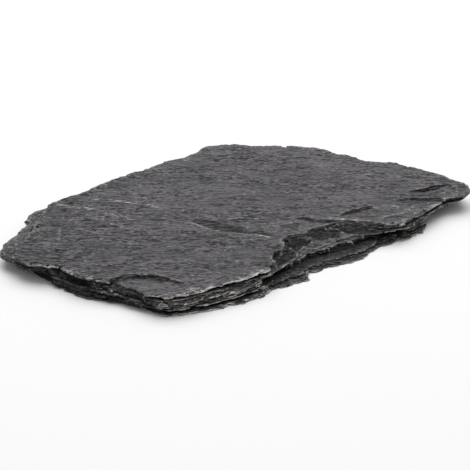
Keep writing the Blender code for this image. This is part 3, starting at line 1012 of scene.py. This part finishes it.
def count_nodes(layer):
    print(layer + ":", len(slate.node_tree.nodes), "nodes so far")


count_nodes("base shader")

# %% [markdown]
# Every noise is read in coordinates turned along the grain and measured in millimetres. A slow wander bends
# them by a few millimetres, because no real grain is dead straight.

# %% Coordinates and noises along the grain
WANDER_SCALE = 0.045  # bends in a millimetre
WANDER_REACH = 4.0  # and how far they go, in millimetres

in_metres = add_node(slate.node_tree, "ShaderNodeTexCoord").outputs["Object"]
in_grain = add_node(
    slate.node_tree,
    "ShaderNodeMapping",
    {"Vector": in_metres, "Rotation": (0, 0, -grain_angle), "Scale": (1 / MM, 1 / MM, 1 / MM)},
).outputs[0]
wander = add_node(
    slate.node_tree,
    "ShaderNodeTexNoise",
    {"Vector": in_grain, "Scale": WANDER_SCALE, "Detail": 2.0},
).outputs["Color"]
in_grain = add_node(
    slate.node_tree,
    "ShaderNodeVectorMath",
    {0: wander, 1: (WANDER_REACH, WANDER_REACH, 0.0), 2: in_grain},
    operation="MULTIPLY_ADD",
).outputs[0]


def slate_noise(length, width, thickness, seed, detail=3.0, roughness=0.6):
    """Noise from 0 to 1, drawn out by these millimetres along the grain, across it and upwards."""
    shift = (seed, seed * 1.7, seed * 0.6)
    scale = (1 / length, 1 / width, 1 / thickness)
    scaled = add_node(
        slate.node_tree,
        "ShaderNodeMapping",
        {"Vector": in_grain, "Location": shift, "Scale": scale},
    ).outputs[0]
    return add_node(
        slate.node_tree,
        "ShaderNodeTexNoise",
        {"Vector": scaled, "Scale": 1.0, "Detail": detail, "Roughness": roughness},
    ).outputs[0]


surface_normal = add_node(slate.node_tree, "ShaderNodeNewGeometry").outputs["Normal"]
normal_z = add_node(slate.node_tree, "ShaderNodeSeparateXYZ", {0: surface_normal}).outputs["Z"]
cleft = between(math_node(slate.node_tree, "ABSOLUTE", normal_z), 0.35, 0.85)
broken = math_node(slate.node_tree, "SUBTRACT", 1.0, cleft)

long_streaks = slate_noise(17, 2.6, 2.6, 3.1, 4.0)
short_streaks = slate_noise(7.0, 1.7, 1.5, 11.4, 3.0)
blotches = slate_noise(38, 20, 18, 23.0)
speckle = slate_noise(3.2, 1.0, 1.2, 37.0, 2.0)
films_tone = slate_noise(14, 14, 0.55, 41.0)
count_nodes("noises")

# %% [markdown]
# The cleft face is short streaks and fine specks on long streaks and slow blotches. Where a flake ended there
# is a faint contour: a soft noise crosses one of its levels there, and the low side gets a painted shade and
# the lip a painted highlight, besides the bump. Some patches are calm and others are busy with fine crystals.

# %% The cleft face
CLEFT_DARK = (0.0110, 0.0103, 0.0117, 1)
CLEFT_PALE = (0.131, 0.1245, 0.1345, 1)

levels = times(slate_noise(46, 15, 15, 71.0, 4.0, 0.55), 9.0)
past_level = math_node(slate.node_tree, "FRACT", levels)
lines_here = between(slate_noise(22, 9, 9, 83.0, 2.0), 0.52, 0.62)
# painted shade on the low side of each contour step and painted highlight on its lip
painted_step_shade = times(between(past_level, 0.0, 0.13, 1.0, 0.0), lines_here)
painted_step_highlight = times(between(past_level, 0.88, 1.0), lines_here)
busy = between(slate_noise(30, 14, 14, 29.0, 2.0), 0.40, 0.62, 0.55, 1.35)
fine = sum_of(times(short_streaks, 1.8), times(speckle, 3.3), -2.55)
cleft_tone = sum_of(-0.72, times(long_streaks, 1.6), times(blotches, 0.9), times(fine, busy))
# the stored paleness is painted light on the scoop floor and a duller back left
cleft_tone = sum_of(cleft_tone, times(painted_step_shade, -0.60), times(painted_step_highlight, 0.30), stored("paleness"))
cleft_colour = blend(cleft_tone, CLEFT_DARK, CLEFT_PALE)
count_nodes("cleft face")

# %% [markdown]
# On the broken edge the films show end on, as pale and black lines half a millimetre apart. The pale lines
# are partly the films' own colour and partly painted highlight of lit lips, and they are bright only where
# the break is fresh. Torn stone is almost black with grey specks, partly its own colour and partly painted
# shade.

# %% The broken edge and torn stone
BROKEN_DARK = (0.0050, 0.0047, 0.0047, 1)
BROKEN_PALE_AND_HIGHLIGHT = (0.440, 0.420, 0.395, 1)
TORN_AND_SHADED_DARK = (0.0030, 0.0029, 0.0032, 1)
TORN_AND_SHADED_PALE = (0.066, 0.064, 0.065, 1)

# painted highlight: the pale film lines stand partly for lips that catch the light
broken_tone = times(between(films_tone, 0.48, 0.60), between(slate_noise(18, 18, 4, 43.0), 0.34, 0.56))
broken_tone = times(broken_tone, stored("fresh_and_painted_light"))
broken_colour = blend(broken_tone, BROKEN_DARK, BROKEN_PALE_AND_HIGHLIGHT)
# torn stone's dark is partly its own colour and partly painted shade
torn_and_shaded_tone = between(sum_of(short_streaks, times(speckle, 1.0), times(stored("pit"), -0.16)), 0.88, 1.26)
torn_and_shaded_colour = blend(torn_and_shaded_tone, TORN_AND_SHADED_DARK, TORN_AND_SHADED_PALE)
cleft_colour = blend(times(stored("torn_and_shaded"), 0.92), cleft_colour, torn_and_shaded_colour)
stone_colour = blend(broken, cleft_colour, broken_colour)
count_nodes("broken edge")

# %% [markdown]
# Weather brings a little colour: olive in a few patches of the cleft face, and rust in a few leaves of the
# broken edge. Both stay faint, or the slate would stop looking like slate.

# %% Weathering
OLIVE = (0.085, 0.084, 0.070, 1)
RUST = (0.085, 0.056, 0.040, 1)

olive = times(between(slate_noise(42, 26, 26, 91.0, 2.0), 0.58, 0.74), 0.12)
stone_colour = blend(times(olive, cleft), stone_colour, OLIVE)
rust = times(between(slate_noise(17, 17, 1.3, 97.0, 2.0), 0.60, 0.70), 0.5)
stone_colour = blend(times(rust, broken), stone_colour, RUST)
count_nodes("weathering")

# %% [markdown]
# Crushed stone is nearly white. It lies on lips and sharp edges in thin broken lines, and where something
# struck the face. Small pale flecks are scattered over the face, and more of them near its rim.

# %% Crushed stone and flecks
WHITE_POWDER = (0.52, 0.508, 0.49, 1)
PALE_FLECK = (0.36, 0.352, 0.345, 1)

# the edge's freshness number, which also holds painted shade and highlight, scales the crushed stone
crush = times(times(stored("worn"), stored("fresh_and_painted_light")), between(slate_noise(8, 8, 1.0, 53.0), 0.38, 0.54))
crush = times(crush, between(stored("torn_and_shaded"), 0.2, 0.9, 1.0, 0.6))
crush = times(crush, between(stored("pit"), 0.0, 1.0, 1.0, 0.3))
bruised = times(stored("bruise"), between(slate_noise(3.2, 1.6, 1.6, 57.0), 0.48, 0.62))
lipped = times(stored("lip"), between(slate_noise(2.8, 2.2, 2.2, 59.0), 0.42, 0.56))
lipped = times(lipped, between(slate_noise(24, 24, 9, 63.0), 0.40, 0.60, 0.15, 1.0))
crush = math_node(slate.node_tree, "MAXIMUM", crush, math_node(slate.node_tree, "MAXIMUM", bruised, lipped))
stone_colour = blend(crush, stone_colour, WHITE_POWDER)
fleck_noise = sum_of(slate_noise(2.4, 1.3, 1.2, 61.0, 2.0), times(stored("rim"), 0.04))
fleck_places = sum_of(slate_noise(20, 9, 9, 67.0), times(stored("rim"), 0.09))
fleck = times(between(fleck_noise, 0.60, 0.70), between(fleck_places, 0.46, 0.66))
fleck = times(fleck, between(stored("torn_and_shaded"), 0.2, 0.9, 0.8, 0.1))
stone_colour = blend(fleck, stone_colour, PALE_FLECK)
count_nodes("crushed stone")

# %% [markdown]
# The painted shade of the gaps and recesses goes over everything else. The face has a faint sheen where the
# mica lies flat, so the roughness follows the fine streaks, and a small bump gives the streaks and contours
# their own light and shade. The larger relief is in the mesh already.

# %% Painted shade of the gaps, sheen and bump
PAINTED_SHADE_BLACK = (0.003, 0.003, 0.003, 1)
MATT, SHEEN = 0.85, 0.62  # roughness of the dullest and the shiniest streaks
BUMP_HEIGHT = 0.6 * MM

# painted shade: the gap and shade numbers blend the colour towards near black
darkness = math_node(slate.node_tree, "MAXIMUM", times(stored("gap"), 0.9), times(stored("painted_shade"), 0.9))
stone_colour = blend(darkness, stone_colour, PAINTED_SHADE_BLACK)
slate.node_tree.links.new(stone_colour, shader.inputs["Base Color"])

dullness = between(sum_of(times(short_streaks, 0.6), times(speckle, 0.4)), 0.3, 0.7, MATT, SHEEN)
slate.node_tree.links.new(dullness, shader.inputs["Roughness"])
level_steps = times(math_node(slate.node_tree, "FLOOR", levels), -0.35)
bump_height = sum_of(long_streaks, short_streaks, times(speckle, 0.5), level_steps)
streak_bump = add_node(
    slate.node_tree,
    "ShaderNodeBump",
    {"Height": bump_height, "Strength": 1.0, "Distance": BUMP_HEIGHT},
).outputs[0]
slate.node_tree.links.new(streak_bump, shader.inputs["Normal"])
shader.inputs["Specular IOR Level"].default_value = 0.18
count_nodes("all of the slate")

# %% [markdown]
# ## Floor, light and world
#
# The slab lies on a plain pale floor under soft light. One large lamp hangs high above it and a little
# behind, so that the upper face is evenly lit, the near edge is in shade, and a soft shadow falls towards the
# viewer. A white world fills the rest.

# %% The floor
FLOOR_SIDE = 6.0
FLOOR_WHITE = (0.80, 0.80, 0.80, 1)

bpy.ops.mesh.primitive_plane_add(size=FLOOR_SIDE, location=(0, 0, 0))
floor = bpy.context.object
floor.name = "floor"
white = bpy.data.materials.new("floor white")
white.use_nodes = True
white.node_tree.nodes["Principled BSDF"].inputs["Base Color"].default_value = FLOOR_WHITE
white.node_tree.nodes["Principled BSDF"].inputs["Roughness"].default_value = 0.9
floor.data.materials.append(white)
print("floor:", FLOOR_SIDE, "m across")

# %% The lamp and the world
LAMP_PLACE = Vector((0.50, 0.60, 2.0))
LAMP_SIDE = 2.6
LAMP_WATTS = 55
WORLD_STRENGTH = 0.50

lamp = bpy.data.objects.new("back", bpy.data.lights.new("back", "AREA"))
lamp.data.shape = "SQUARE"
lamp.data.size = LAMP_SIDE
lamp.data.energy = LAMP_WATTS
lamp.location = LAMP_PLACE
lamp.rotation_euler = (-LAMP_PLACE).to_track_quat("-Z", "Y").to_euler()
bpy.context.scene.collection.objects.link(lamp)

world = bpy.data.worlds.new("studio")
world.use_nodes = True
world.node_tree.nodes["Background"].inputs["Color"].default_value = (1, 1, 1, 1)
world.node_tree.nodes["Background"].inputs["Strength"].default_value = WORLD_STRENGTH
bpy.context.scene.world = world
bpy.context.scene.view_settings.view_transform = "Standard"
print("lamp:", LAMP_WATTS, "W from", LAMP_SIDE, "m of soft box")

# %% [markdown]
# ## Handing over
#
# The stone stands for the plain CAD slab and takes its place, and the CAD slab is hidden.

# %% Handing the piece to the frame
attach(piece, "root")
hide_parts("slate_slab")
